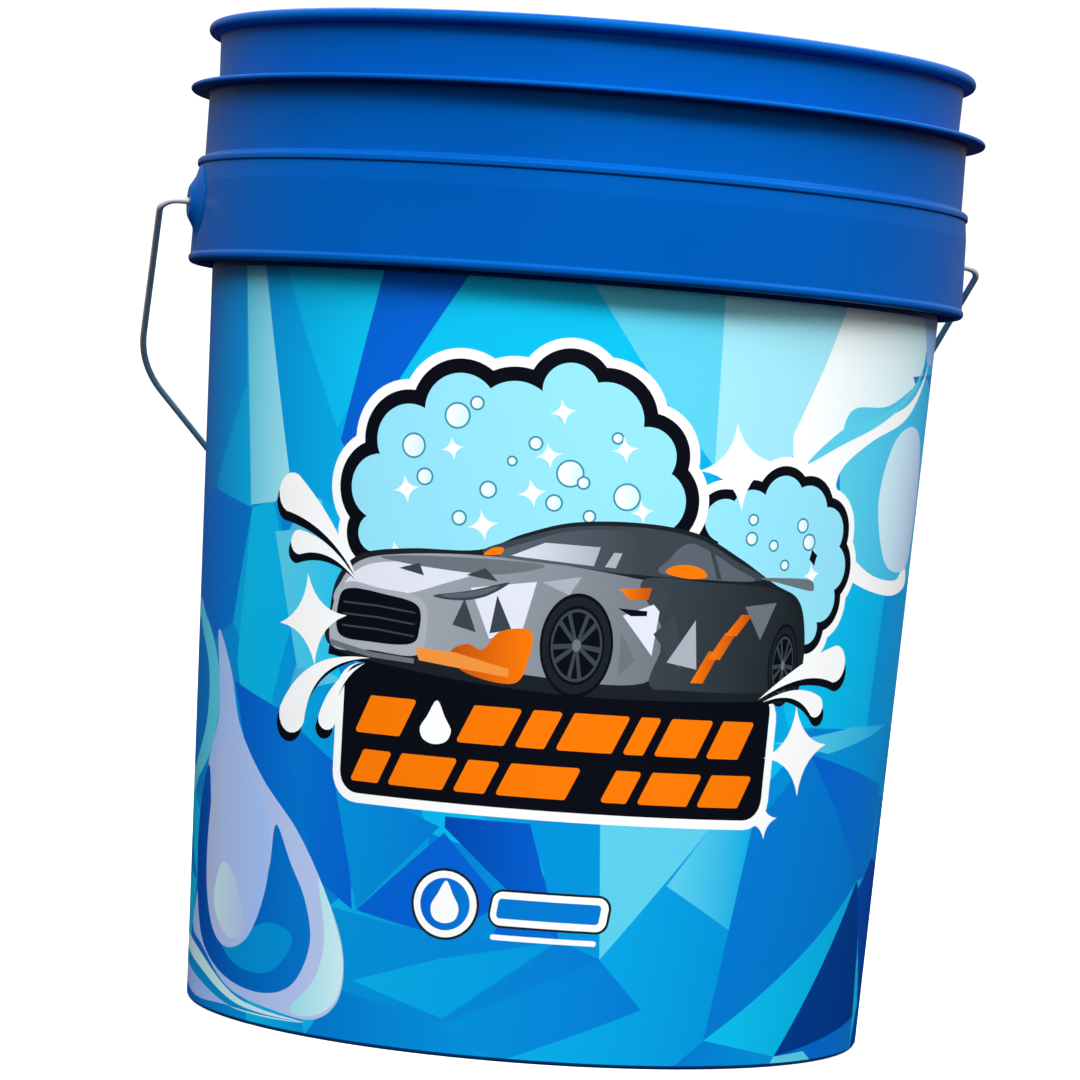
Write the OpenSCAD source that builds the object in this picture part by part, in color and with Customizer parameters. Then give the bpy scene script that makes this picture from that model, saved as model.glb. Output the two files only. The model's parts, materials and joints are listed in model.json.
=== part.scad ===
// Wash bucket, 20 litres: moulded shell, printed wrap film, wire bail and a loose grip.
// Units are millimetres. The bucket's axis is Z, the foot stands on Z = 0, and the ears lie on X.

/* [Shell] */
// Height from the foot to the top of the rim
bucket_h = 380; // [370:1:390]
// Outer radius of the wall at the foot
foot_r = 131.8; // [130:0.2:133]
// Outer radius that the wall's taper reaches at the rim
wall_top_r = 146.1; // [145.6:0.1:146.4]
// Thickness of the wall
wall_t = 2.3; // [2:0.1:2.5]
// Radius of the straight seat inside the mouth
mouth_r = 143.2; // [143:0.1:143.4]

/* [Rings] */
// Height of the top face of the wide stacking flange
flange_z = 355.4; // [353:0.2:356]
// Radius of the wide stacking flange
flange_r = 156; // [155:0.5:157]
// Height of the step between the upper band and the collar
step_z = 327.4; // [325:0.2:329]
// Height of the collar's lower edge
collar_z = 286.3; // [284:0.1:289]
// Outer radius of the collar
collar_r = 151.8; // [151.6:0.1:152.4]
// Outer radius of the upper band
band_r = 148.7; // [148.5:0.1:149]

/* [Bail] */
// Height of the bail's pivot
pivot_z = 309.2; // [306:0.2:312]
// Diameter of the bail's wire
wire_d = 2.6; // [2.4:0.1:3.2]
// Distance from the pivot's axis to the straight run that carries the grip
bail_reach = 190; // [190:1:200]
// Angle between the hanging bail and straight down
bail_tilt = 54; // [54:0.5:66]
// Length of the grip
grip_len = 110; // [90:1:112]
// Radius of the grip at its middle
grip_r = 13.2; // [11:0.2:13.4]

/* [Film] */
// Thickness of the printed wrap film
film_t = 0.25; // [0.2:0.05:0.4]

/* [Hidden] */
$fn = 180;
arc_steps = 8;
eps = 0.01;

// Foot and floor
foot_inner_r = foot_r - 6;
foot_edge = 1.5;
floor_z = 5;
floor_t = 2.5;
floor_fillet = 6;
floor_rings = [60, 95];
floor_rib_h = 2.6;
floor_rib_t = 2;
floor_ribs = 12;

// Rim bead
bead_r = 2.4;
bead_x = 148.2;
rim_lip = 1.6;
mouth_z = 351;

// Stacking flange, upper band and collar
flange_t = 2.1;
root_fillet = 1;
band_t = 2;
collar_t = 2.1;
step_t = 3.2;
collar_neck = 1.2;
step_r = collar_r - 0.4;
collar_lip = 0.6;
collar_edge = 2.1;
cavity_top = flange_z - flange_t - 1.4;
web_count = 24;
web_t = 1.6;

// Ears
ear_r = 14;
ear_tip_r = 5;
ear_tip_x = 155.2;
ear_base_x = 149;
ear_bore_r = wire_d / 2 + 0.35;

// Bail: corners of the wire's centre line, in its own plane, and the radius of each bend
bail_side = [[146.4, 0], [165.8, 0], [159, -107.5], [105, -bail_reach]];
bail_path = concat(bail_side, [for (i = [3:-1:0]) [-bail_side[i][0], bail_side[i][1]]]);
bail_bends = [6.5, 80, 28, 28, 80, 6.5];
bend_swell = 0.04;
bend_lap = 0.3;
head_r = 3.4;
head_t = 2.4;
head_x = 145.9;

// Grip
grip_bore_r = wire_d / 2 + 0.4;
grip_end_r = grip_r + 0.8;
grip_hub_r = 4;
grip_skin = 2.6;
grip_pocket = 38;
grip_ribs = 6;

// Wrap film
film_z0 = 1.5;
film_z1 = collar_z - 1.5;
seam_deg = 0.6;
seam_at = 90;

// Outer radius of the wall at height z
function wall_r(z) = foot_r + (wall_top_r - foot_r) * z / bucket_h;

// Points along an arc from angle a to angle b
function arc(x, y, r, a, b, n = arc_steps) =
  [for (i = [0:n]) [x + r * cos(a + (b - a) * i / n), y + r * sin(a + (b - a) * i / n)]];

function unit(v) = v / norm(v);

// Section of the shell, walked round from the middle of the floor's underside
function shell_section() = concat(
  [[0, floor_z], [foot_inner_r, floor_z], [foot_inner_r, 1]],
  arc(foot_inner_r + 1, 1, 1, 180, 270, 4),
  arc(wall_r(foot_edge) - foot_edge, foot_edge, foot_edge, 270, 360),
  [[wall_r(cavity_top), cavity_top], [band_r - band_t, cavity_top]],
  [[band_r - band_t, step_z - step_t - 1], [collar_r - collar_t, step_z - step_t - 3]],
  [[collar_r - collar_t, collar_z + 0.4], [collar_r - collar_t + 0.4, collar_z]],
  arc(collar_r + collar_lip - collar_edge, collar_z + collar_edge, collar_edge, 270, 360),
  [[collar_r + collar_lip, collar_z + 3], [collar_r, collar_z + 4.5]],
  [[collar_r - 0.5, step_z - step_t - 7], [collar_r - collar_neck, step_z - step_t]],
  arc(step_r - step_t / 2, step_z - step_t / 2, step_t / 2, 300, 450),
  arc(band_r + root_fillet, step_z + root_fillet, root_fillet, 270, 180, 4),
  [[band_r, flange_z - flange_t - root_fillet]],
  arc(band_r + root_fillet, flange_z - flange_t - root_fillet, root_fillet, 180, 90, 4),
  arc(flange_r - flange_t / 2, flange_z - flange_t / 2, flange_t / 2, 270, 450),
  arc(wall_r(flange_z) + root_fillet, flange_z + root_fillet, root_fillet, 270, 180, 4),
  [[wall_r(bucket_h - 2 * bead_r), bucket_h - 2 * bead_r]],
  arc(bead_x, bucket_h - bead_r, bead_r, 270, 450, 14),
  arc(mouth_r + rim_lip, bucket_h - rim_lip, rim_lip, 90, 180, 5),
  [[mouth_r, mouth_z], [wall_r(mouth_z - 1) - wall_t, mouth_z - 1]],
  arc(
    wall_r(floor_z + floor_t + floor_fillet) - wall_t - floor_fillet,
    floor_z + floor_t + floor_fillet, floor_fillet, 0, -90
  ),
  [[0, floor_z + floor_t]]
);

// Vertical webs that tie the collar and the upper band to the wall
module web() {
  lower_in = wall_r(collar_z) - wall_t / 2;
  upper_in = wall_r(step_z) - wall_t / 2;
  translate([lower_in, -web_t / 2, collar_z + 6])
    cube([collar_r - collar_t + 0.4 - lower_in, web_t, step_z - step_t - collar_z - 7]);
  translate([upper_in, -web_t / 2, step_z - step_t - 2])
    cube([band_r - band_t / 2 - upper_in, web_t, cavity_top - step_z + step_t + 2.5]);
}

module ear_boss() {
  rotate([0, 90, 0])
    rotate_extrude()
      polygon(concat(
        [[0, ear_base_x], [ear_r, ear_base_x], [ear_r, collar_r - 0.4], [ear_r - 4, collar_r + 0.9]],
        arc(ear_tip_r + 0.5, ear_tip_x - 1.2, 1.2, 20, 90, 6),
        [[0, ear_tip_x]]
      ));
}

module floor_rings_and_ribs() {
  for (r = floor_rings)
    translate([0, 0, floor_z - floor_rib_h])
      difference() {
        cylinder(r = r + floor_rib_t, h = floor_rib_h + 1);
        translate([0, 0, -1]) cylinder(r = r, h = floor_rib_h + 3);
      }
  for (i = [0:floor_ribs - 1])
    rotate([0, 0, i * 360 / floor_ribs])
      translate([floor_rings[0] + 1, -floor_rib_t / 2, floor_z - floor_rib_h])
        cube([foot_inner_r - floor_rings[0], floor_rib_t, floor_rib_h + 1]);
}

module bucket_shell() {
  color([0.0, 0.27, 0.70])
    difference() {
      union() {
        rotate_extrude() polygon(shell_section());
        for (i = [0:web_count - 1])
          rotate([0, 0, (i + 0.5) * 360 / web_count]) web();
        for (side = [0, 180])
          rotate([0, 0, side]) translate([0, 0, pivot_z]) ear_boss();
        floor_rings_and_ribs();
      }
      for (side = [0, 180])
        rotate([0, 0, side])
          translate([ear_base_x - 1, 0, pivot_z])
            rotate([0, 90, 0]) cylinder(r = ear_bore_r, h = ear_tip_x - ear_base_x + 2);
    }
}

module wrap_film() {
  color([0.05, 0.62, 0.87])
    rotate([0, 0, seam_at + seam_deg / 2])
      rotate_extrude(angle = 360 - seam_deg)
        polygon([
          [wall_r(film_z0), film_z0], [wall_r(film_z0) + film_t, film_z0],
          [wall_r(film_z1) + film_t, film_z1], [wall_r(film_z1), film_z1]
        ]);
}

// Signed angle from direction a to direction b
function turn(a, b) = atan2(a[0] * b[1] - a[1] * b[0], a * b);

// Length that a bend of radius r takes from each of the two runs at corner i
function trim(path, bends, i) =
  i == 0 || i == len(path) - 1 ? 0
  : bends[i - 1] * tan(abs(turn(path[i] - path[i - 1], path[i + 1] - path[i])) / 2);

// Round wire along corners in the XY plane. Each straight run laps into bends that are a
// hair thicker, as a bent wire is, so that no two surfaces coincide.
module wire(path, bends) {
  for (i = [0:len(path) - 2]) {
    along = unit(path[i + 1] - path[i]);
    start = path[i] + along * (trim(path, bends, i) - bend_lap);
    run = norm(path[i + 1] - path[i]) + 2 * bend_lap
      - trim(path, bends, i) - trim(path, bends, i + 1);
    translate([start[0], start[1], 0])
      rotate([0, 0, atan2(along[1], along[0])])
        rotate([0, 90, 0]) cylinder(d = wire_d, h = run, $fn = 48);
  }
  for (i = [1:len(path) - 2]) {
    before = unit(path[i] - path[i - 1]);
    bend = turn(path[i] - path[i - 1], path[i + 1] - path[i]);
    side = bend > 0 ? 1 : -1;
    start = path[i] - before * trim(path, bends, i);
    centre = start + side * bends[i - 1] * [-before[1], before[0]];
    from = atan2(start[1] - centre[1], start[0] - centre[0]);
    translate([centre[0], centre[1], 0])
      rotate([0, 0, bend > 0 ? from : from + bend])
        rotate_extrude(angle = abs(bend), $fn = 120)
          translate([bends[i - 1], 0]) circle(d = wire_d + bend_swell, $fn = 48);
  }
}

// Places children, drawn in the XY plane with the pivot along X, as the hanging bail
module hang() {
  translate([0, 0, pivot_z]) rotate([90 + bail_tilt, 0, 0]) children();
}

module bail_wire() {
  color([0.72, 0.73, 0.74])
    hang() {
      wire(bail_path, bail_bends);
      for (side = [0, 180])
        rotate([0, side, 0])
          translate([head_x, 0, 0]) rotate([0, 90, 0]) cylinder(r = head_r, h = head_t, $fn = 48);
    }
}

module grip_profile() {
  half = grip_len / 2;
  rotate_extrude()
    polygon(concat(
      [[0, -half], [grip_end_r - 1.5, -half]],
      arc(grip_end_r - 1.5, -half + 1.5, 1.5, -90, 0, 4),
      [[grip_end_r, -half + 4], [grip_r - 1, -half + 9]],
      [[grip_r - 0.2, -half / 3], [grip_r, 0], [grip_r - 0.2, half / 3]],
      [[grip_r - 1, half - 9], [grip_end_r, half - 4]],
      arc(grip_end_r - 1.5, half - 1.5, 1.5, 0, 90, 4),
      [[0, half]]
    ));
}

module bail_grip() {
  color([0.06, 0.06, 0.07])
    hang()
      translate([0, -bail_reach, 0]) rotate([0, 90, 0])
        difference() {
          grip_profile();
          cylinder(r = grip_bore_r, h = grip_len + 2, center = true);
          for (end = [0, 180])
            rotate([end, 0, 0])
              translate([0, 0, grip_len / 2 - grip_pocket])
                difference() {
                  cylinder(r = grip_r - 1 - grip_skin, h = grip_pocket + 1);
                  translate([0, 0, -1]) cylinder(r = grip_hub_r, h = grip_pocket + 3);
                  for (i = [0:grip_ribs - 1])
                    rotate([0, 0, i * 360 / grip_ribs])
                      translate([0, -0.8, -1]) cube([grip_r, 1.6, grip_pocket + 3]);
                }
        }
}

bucket_shell();
wrap_film();
bail_wire();
bail_grip();
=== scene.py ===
"""Looks for the 20 litre wash bucket: moulded pail, printed wrap, wire bail and grip."""
import json
import math
import random

import bmesh
import bpy
from mathutils import Matrix, Vector
from mathutils.geometry import delaunay_2d_cdt


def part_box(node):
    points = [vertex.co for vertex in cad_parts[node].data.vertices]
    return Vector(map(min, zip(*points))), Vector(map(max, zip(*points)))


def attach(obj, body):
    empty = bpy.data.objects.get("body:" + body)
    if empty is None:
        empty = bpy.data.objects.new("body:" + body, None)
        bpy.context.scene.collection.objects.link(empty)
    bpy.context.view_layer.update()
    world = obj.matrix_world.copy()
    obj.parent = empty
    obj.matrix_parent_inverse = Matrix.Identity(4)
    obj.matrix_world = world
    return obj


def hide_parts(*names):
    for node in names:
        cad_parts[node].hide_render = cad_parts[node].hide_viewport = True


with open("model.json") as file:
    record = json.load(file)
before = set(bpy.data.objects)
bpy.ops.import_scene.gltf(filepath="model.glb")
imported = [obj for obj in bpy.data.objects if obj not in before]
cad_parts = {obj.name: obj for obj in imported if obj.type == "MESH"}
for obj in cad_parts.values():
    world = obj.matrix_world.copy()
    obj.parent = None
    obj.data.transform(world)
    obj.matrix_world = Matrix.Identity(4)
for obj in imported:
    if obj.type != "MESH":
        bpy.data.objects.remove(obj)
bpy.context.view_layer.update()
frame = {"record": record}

MM = 0.001
rng = random.Random(20)

# ---------------------------------------------------------------- sizes, mm

JOINTS = {j["name"]: j for j in frame["record"]["behaviour"]["joints"]}
PIVOT_Z = JOINTS["bail_swing"]["pos_m"][2] / MM
GRIP_Y, GRIP_Z = (v / MM for v in JOINTS["grip_spin"]["pos_m"][1:])
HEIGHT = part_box("bucket_shell")[1][2] / MM
FILM_Z0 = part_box("wrap_film")[0][2] / MM
FILM_Z1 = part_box("wrap_film")[1][2] / MM
FOOT_R, WALL_TOP_R, WALL_T = 131.8, 146.1, 2.3
FILM_T = 0.25  # the film's outer face, off the wall
FILM_GAP = 0.01  # the film's inner face, off the wall
SEAM = math.radians(0.6)
ART_R = 138.0  # radius at which one label millimetre is one millimetre of wrap


def wall_r(z):
    """Outer radius of the tapered wall at height z."""
    return FOOT_R + (WALL_TOP_R - FOOT_R) * z / HEIGHT


# ---------------------------------------------------------------- meshes


def new_object(name, bm, smooth_deg=35):
    """Turns a bmesh drawn in millimetres into an object in metres."""
    bmesh.ops.transform(bm, matrix=Matrix.Scale(MM, 4), verts=bm.verts)
    mesh = bpy.data.meshes.new(name)
    bm.to_mesh(mesh)
    bm.free()
    obj = bpy.data.objects.new(name, mesh)
    bpy.context.scene.collection.objects.link(obj)
    mesh.shade_smooth()
    if smooth_deg:
        mesh.set_sharp_from_angle(angle=math.radians(smooth_deg))
    return obj


def rounded(corners, closed=False, step_deg=9):
    """A path through (x, y, radius) corners with each corner rounded to its radius."""
    out, n = [], len(corners)
    for i, (x, y, r) in enumerate(corners):
        p = Vector((x, y))
        inner = closed or 0 < i < n - 1
        if not inner or r <= 0:
            out.append(p)
            continue
        before = (Vector(corners[i - 1][:2]) - p).normalized()
        after = (Vector(corners[(i + 1) % n][:2]) - p).normalized()
        half = before.angle(after) / 2
        if half > math.radians(89):
            out.append(p)
            continue
        back = r / math.tan(half)
        centre = p + (before + after).normalized() * (r / math.sin(half))
        start, end = p + before * back - centre, p + after * back - centre
        sweep = math.atan2(start.x * end.y - start.y * end.x, start.dot(end))
        steps = max(2, math.ceil(abs(math.degrees(sweep)) / step_deg))
        out += [
            centre + Matrix.Rotation(sweep * k / steps, 2) @ start
            for k in range(steps + 1)
        ]
    return out


def revolve(bm, profile, segments, axis="Z"):
    """Revolves (radius, height) points. Points at radius 0 become poles, and a profile
    that starts away from the axis is closed into a ring."""
    rings = []
    for r, h in profile:
        if r < 1e-6:
            rings.append([bm.verts.new((0, 0, h))])
            continue
        ring = []
        for k in range(segments):
            a = 2 * math.pi * k / segments
            ring.append(bm.verts.new((r * math.cos(a), r * math.sin(a), h)))
        rings.append(ring)
    pairs = list(zip(rings, rings[1:]))
    if len(rings[0]) > 1:
        pairs.append((rings[-1], rings[0]))
    faces = []
    for lower, upper in pairs:
        for k in range(segments):
            m = (k + 1) % segments
            quad = [lower[k % len(lower)], lower[m % len(lower)]]
            quad += [upper[m % len(upper)], upper[k % len(upper)]]
            quad = list(dict.fromkeys(quad))
            if len(quad) > 2:
                faces.append(bm.faces.new(quad))
    turn = {"Z": Matrix(), "X": Matrix.Rotation(math.pi / 2, 4, "Y")}[axis]
    verts = [v for ring in rings for v in ring]
    bmesh.ops.transform(bm, matrix=turn, verts=verts)
    return verts, faces


def box(bm, lo, hi, turn_deg):
    """A box from lo to hi, turned about Z."""
    size = Vector(hi) - Vector(lo)
    place = Matrix.Rotation(math.radians(turn_deg), 4, "Z")
    place = place @ Matrix.Translation((Vector(lo) + Vector(hi)) / 2)
    place = place @ Matrix.Diagonal((*size, 1))
    bmesh.ops.create_cube(bm, size=1, matrix=place)


def combine(target, tool_bm, operation):
    """Joins a tool mesh to an object, or cuts it away, and applies the result."""
    tool = new_object("tool", tool_bm)
    mod = target.modifiers.new("combine", "BOOLEAN")
    mod.object, mod.operation, mod.solver = tool, operation, "MANIFOLD"
    graph = bpy.context.evaluated_depsgraph_get()
    made = bpy.data.meshes.new_from_object(target.evaluated_get(graph))
    target.modifiers.clear()
    old, target.data = target.data, made
    made.name = old.name
    bpy.data.meshes.remove(old)
    bpy.data.objects.remove(tool)
    made.shade_smooth()
    made.set_sharp_from_angle(angle=math.radians(35))


# ---------------------------------------------------------------- materials


def srgb(hex_code):
    """Linear colour from a hex code."""
    parts = [int(hex_code[i:i + 2], 16) / 255 for i in (0, 2, 4)]
    return [c / 12.92 if c <= 0.04045 else ((c + 0.055) / 1.055) ** 2.4 for c in parts]


def material(name, colour, roughness, metallic=0.0, specular=0.5, gleam=(1, 1, 1)):
    """A principled material and its node tree."""
    mat = bpy.data.materials.new(name)
    mat.use_nodes = True
    tree = mat.node_tree
    shader = tree.nodes["Principled BSDF"]
    shader.inputs["Base Color"].default_value = (*colour, 1)
    shader.inputs["Roughness"].default_value = roughness
    shader.inputs["Metallic"].default_value = metallic
    shader.inputs["Specular IOR Level"].default_value = specular
    shader.inputs["Specular Tint"].default_value = (*gleam, 1)
    return mat, tree, shader


def add(tree, kind, **values):
    """A node with its inputs or properties set by name."""
    made = tree.nodes.new(kind)
    for key, value in values.items():
        if key in made.inputs:
            made.inputs[key].default_value = value
        else:
            setattr(made, key, value)
    return made


def noise(tree, scale, detail, roughness=0.5, stretch=(1, 1, 1)):
    """Noise in the object's own coordinates, stretched along an axis if asked."""
    coords = add(tree, "ShaderNodeTexCoord")
    mapping = add(tree, "ShaderNodeMapping")
    mapping.inputs["Scale"].default_value = stretch
    made = add(tree, "ShaderNodeTexNoise", Scale=scale, Detail=detail, Roughness=roughness)
    tree.links.new(coords.outputs["Object"], mapping.inputs["Vector"])
    tree.links.new(mapping.outputs["Vector"], made.inputs["Vector"])
    return made.outputs["Fac"]


def vary(tree, fac, socket, low, high):
    """Maps noise from its usual range onto a socket."""
    span = add(tree, "ShaderNodeMapRange")
    span.inputs["From Min"].default_value = 0.3
    span.inputs["From Max"].default_value = 0.7
    span.inputs["To Min"].default_value = low
    span.inputs["To Max"].default_value = high
    tree.links.new(fac, span.inputs["Value"])
    tree.links.new(span.outputs["Result"], socket)


def bump(tree, shader, fac, distance, strength):
    """Bump from noise, on the shader's normal."""
    made = add(tree, "ShaderNodeBump", Strength=strength, Distance=distance)
    tree.links.new(fac, made.inputs["Height"])
    tree.links.new(made.outputs["Normal"], shader.inputs["Normal"])


def tint(tree, shader, fac, colours):
    """Base colour from noise through a ramp."""
    ramp = add(tree, "ShaderNodeValToRGB")
    ramp.color_ramp.elements[0].position = 0.3
    ramp.color_ramp.elements[1].position = 0.7
    for element, colour in zip(ramp.color_ramp.elements, colours):
        element.color = (*colour, 1)
    tree.links.new(fac, ramp.inputs["Fac"])
    tree.links.new(ramp.outputs["Color"], shader.inputs["Base Color"])


def pail_plastic():
    """Blue semi-gloss polyethylene, faintly mottled and pebbled."""
    mat, tree, shader = material("pail_plastic", srgb("0052a9"), 0.34, specular=0.13,
                                 gleam=(0.05, 0.6, 1))
    tint(tree, shader, noise(tree, 9, 2), (srgb("004fa4"), srgb("0056ae")))
    vary(tree, noise(tree, 60, 4), shader.inputs["Roughness"], 0.3, 0.38)
    bump(tree, shader, noise(tree, 420, 3, 0.6, (1, 1, 0.5)), 0.00002, 0.35)
    return mat


def print_ink():
    """Printed film: the ink of each face corner under a smooth sheen."""
    mat, tree, shader = material("print_film", srgb("1fb4e6"), 0.34, specular=0.05)
    ink = add(tree, "ShaderNodeAttribute", attribute_name="ink")
    tree.links.new(ink.outputs["Color"], shader.inputs["Base Color"])
    vary(tree, noise(tree, 30, 2), shader.inputs["Roughness"], 0.33, 0.36)
    bump(tree, shader, noise(tree, 90, 1), 0.00002, 0.06)
    return mat


def galvanised():
    """Zinc-coated wire with a fine uneven grain."""
    mat, tree, shader = material("galvanised_wire", srgb("c4c6c8"), 0.36, metallic=0.1)
    tint(tree, shader, noise(tree, 350, 4, 0.7), (srgb("c4c5c6"), srgb("e2e3e4")))
    vary(tree, noise(tree, 900, 3), shader.inputs["Roughness"], 0.24, 0.42)
    bump(tree, shader, noise(tree, 1500, 3), 0.00002, 0.3)
    return mat


def grip_plastic():
    """Black plastic with a fine moulded texture."""
    mat, tree, shader = material("grip_plastic", srgb("15161a"), 0.5)
    tint(tree, shader, noise(tree, 40, 3), (srgb("121317"), srgb("1a1b20")))
    vary(tree, noise(tree, 120, 3), shader.inputs["Roughness"], 0.42, 0.56)
    bump(tree, shader, noise(tree, 1800, 3, 0.6), 0.00006, 0.5)
    return mat


# ---------------------------------------------------------------- pail

COLLAR_Z, STEP_Z, FLANGE_Z, CAVITY_TOP = 286.3, 327.4, 355.4, 351.9
BAND_R, COLLAR_R, FLANGE_R = 148.7, 151.8, 156.0
BAND_T, COLLAR_T, FLANGE_T, STEP_T = 2.0, 2.1, 2.1, 4.2
STEP_R = COLLAR_R - 0.4
MOUTH_R, MOUTH_Z, FLOOR_Z, FLOOR_T = 143.2, 350.0, 5.0, 2.5
BEAD_R, BEAD_H = 150.6, 4.8
WEBS, WEB_HALF = 24, 0.8
RIBS, RIB_HALF, RING_RADII = 12, 1.0, (60, 95)
EAR_R, EAR_X, EAR_TIP_R, BORE_R = 14, 155.2, 5.9, 1.65
SEGMENTS = 360


def pail_profile():
    """Section of the moulding, round from the floor's underside to its top."""
    foot_in = FOOT_R - 6
    neck_top = HEIGHT - BEAD_H
    inside_low = FLOOR_Z + FLOOR_T
    return rounded([
        (0, FLOOR_Z, 0),
        (foot_in, FLOOR_Z, 1.2),
        (foot_in, 0, 1),
        (wall_r(0), 0, 1.5),
        (wall_r(CAVITY_TOP), CAVITY_TOP, 0.7),
        (BAND_R - BAND_T, CAVITY_TOP, 0.7),
        (BAND_R - BAND_T, STEP_Z - STEP_T, 1),
        (COLLAR_R - COLLAR_T, STEP_Z - STEP_T - 2, 1),
        (COLLAR_R - COLLAR_T, COLLAR_Z, 0.5),
        (COLLAR_R + 0.6, COLLAR_Z, 2),
        (COLLAR_R + 0.6, COLLAR_Z + 2.8, 0.7),
        (COLLAR_R - 0.1, COLLAR_Z + 3.8, 0.8),
        (COLLAR_R - 0.5, STEP_Z - 10.2, 6),
        (COLLAR_R - 1.2, STEP_Z - 3.2, 0.2),
        (STEP_R, STEP_Z - 3.2, 0.7),
        (STEP_R, STEP_Z, 1.6),
        (BAND_R, STEP_Z, 1),
        (BAND_R, FLANGE_Z - FLANGE_T, 1),
        (FLANGE_R, FLANGE_Z - FLANGE_T, 1),
        (FLANGE_R, FLANGE_Z, 1),
        (wall_r(FLANGE_Z), FLANGE_Z, 1.2),
        (wall_r(neck_top), neck_top, 0.7),
        (BEAD_R, neck_top, 2.35),
        (BEAD_R, HEIGHT, 2.35),
        (MOUTH_R, HEIGHT, 1.8),
        (MOUTH_R, MOUTH_Z + 1, 0.6),
        (wall_r(MOUTH_Z) - WALL_T, MOUTH_Z, 0.6),
        (wall_r(inside_low) - WALL_T, inside_low, 6),
        (0, inside_low, 0),
    ])


def pail():
    """The moulding: revolved section, webs, floor ribs and rings, and two pierced ears."""
    bm = bmesh.new()
    revolve(bm, pail_profile(), SEGMENTS)
    bmesh.ops.recalc_face_normals(bm, faces=bm.faces)
    obj = new_object("pail_shell", bm)

    lower_webs, upper_webs, ribs, rings, bosses, bores = (bmesh.new() for _ in range(6))
    for i in range(WEBS):
        turn = (i + 0.5) * 360 / WEBS
        box(lower_webs, (wall_r(COLLAR_Z) - 1, -WEB_HALF, COLLAR_Z + 6),
            (COLLAR_R - COLLAR_T + 0.4, WEB_HALF, STEP_Z - STEP_T), turn)
        box(upper_webs, (wall_r(STEP_Z) - 1, -WEB_HALF, STEP_Z - STEP_T - 1),
            (BAND_R - 1, WEB_HALF, CAVITY_TOP + 0.6), turn)
    for i in range(RIBS):
        box(ribs, (RING_RADII[0] + 1, -RIB_HALF, FLOOR_Z - 2.6),
            (FOOT_R - 5, RIB_HALF, FLOOR_Z + 1), i * 360 / RIBS)
    for r in RING_RADII:
        ring = rounded([(r, 2.4, 0.4), (r + 2, 2.4, 0.4), (r + 2, 6, 0), (r, 6, 0)], True)
        revolve(rings, ring, 180)
    revolve(rings, rounded([(0, 3.6, 0), (6, 3.6, 0.8), (7, 6, 0), (0, 6, 0)]), 48)

    root = BAND_R + 0.3
    dome = rounded([
        (0, root, 0), (EAR_R, root, 0), (EAR_R, STEP_R, 0.3), (EAR_R - 4, COLLAR_R + 0.9, 6),
        (EAR_TIP_R, EAR_X, 1.6), (0, EAR_X, 0),
    ])
    bore = [(0, root - 1), (BORE_R, root - 1), (BORE_R, EAR_X - 0.7), (2.5, EAR_X + 0.6),
            (0, EAR_X + 0.6)]
    for side in (0, 180):
        place = Matrix.Translation((0, 0, PIVOT_Z))
        place = place @ Matrix.Rotation(math.radians(side), 4, "Z")
        for bm, profile in ((bosses, dome), (bores, bore)):
            verts, _ = revolve(bm, profile, 96, "X")
            bmesh.ops.transform(bm, matrix=place, verts=verts)
    for bm in (lower_webs, upper_webs, ribs, rings, bosses):
        bmesh.ops.recalc_face_normals(bm, faces=bm.faces)
        combine(obj, bm, "UNION")
    bmesh.ops.recalc_face_normals(bores, faces=bores.faces)
    combine(obj, bores, "DIFFERENCE")
    return obj


# ---------------------------------------------------------------- bail and grip

# Half of the wire's middle line, from its end in the ear: across, along, bend radius.
BAIL = [(146.4, 0, 0), (165.8, 0, 6.5), (159, -107.5, 80), (105, -190, 28)]
WIRE_R, HEAD_R, HEAD_X, HEAD_T = 1.3, 3.4, 145.9, 2.4


def hang():
    """Places what is drawn in the XY plane, pivot along X, as the hanging bail."""
    down = Vector((0, GRIP_Y, GRIP_Z - PIVOT_Z))
    turn = math.atan2(-down.z, -down.y)
    return Matrix.Translation((0, 0, PIVOT_Z)) @ Matrix.Rotation(turn, 4, "X")


def bail():
    """Round wire swept along the bail's path, with a flat head inside each ear."""
    path = rounded(BAIL + [(-x, y, r) for x, y, r in reversed(BAIL)], step_deg=3)
    bm = bmesh.new()
    rings, sides = [], 24
    for i, p in enumerate(path):
        along = (path[min(i + 1, len(path) - 1)] - path[max(i - 1, 0)]).normalized()
        out = Vector((-along.y, along.x, 0))
        ring = []
        for k in range(sides):
            a = 2 * math.pi * k / sides
            offset = out * (WIRE_R * math.cos(a)) + Vector((0, 0, WIRE_R * math.sin(a)))
            ring.append(bm.verts.new(Vector((p.x, p.y, 0)) + offset))
        rings.append(ring)
    for a, b in zip(rings, rings[1:]):
        for k in range(sides):
            m = (k + 1) % sides
            bm.faces.new((a[k], a[m], b[m], b[k]))
    bm.faces.new(rings[0])
    bm.faces.new(reversed(rings[-1]))
    bmesh.ops.recalc_face_normals(bm, faces=bm.faces)
    bmesh.ops.transform(bm, matrix=hang(), verts=bm.verts)
    obj = new_object("bail_wire_drawn", bm)

    heads = bmesh.new()
    far = HEAD_X + HEAD_T
    head = rounded([(0, HEAD_X, 0), (HEAD_R, HEAD_X, 0.7), (HEAD_R, far, 0.5), (0, far, 0)])
    for side in (0, 180):
        verts, _ = revolve(heads, head, 48, "X")
        turn = Matrix.Rotation(math.radians(side), 4, "Z")
        place = Matrix.Translation((0, 0, PIVOT_Z)) @ turn
        bmesh.ops.transform(heads, matrix=place, verts=verts)
    bmesh.ops.recalc_face_normals(heads, faces=heads.faces)
    combine(obj, heads, "UNION")
    return obj


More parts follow.
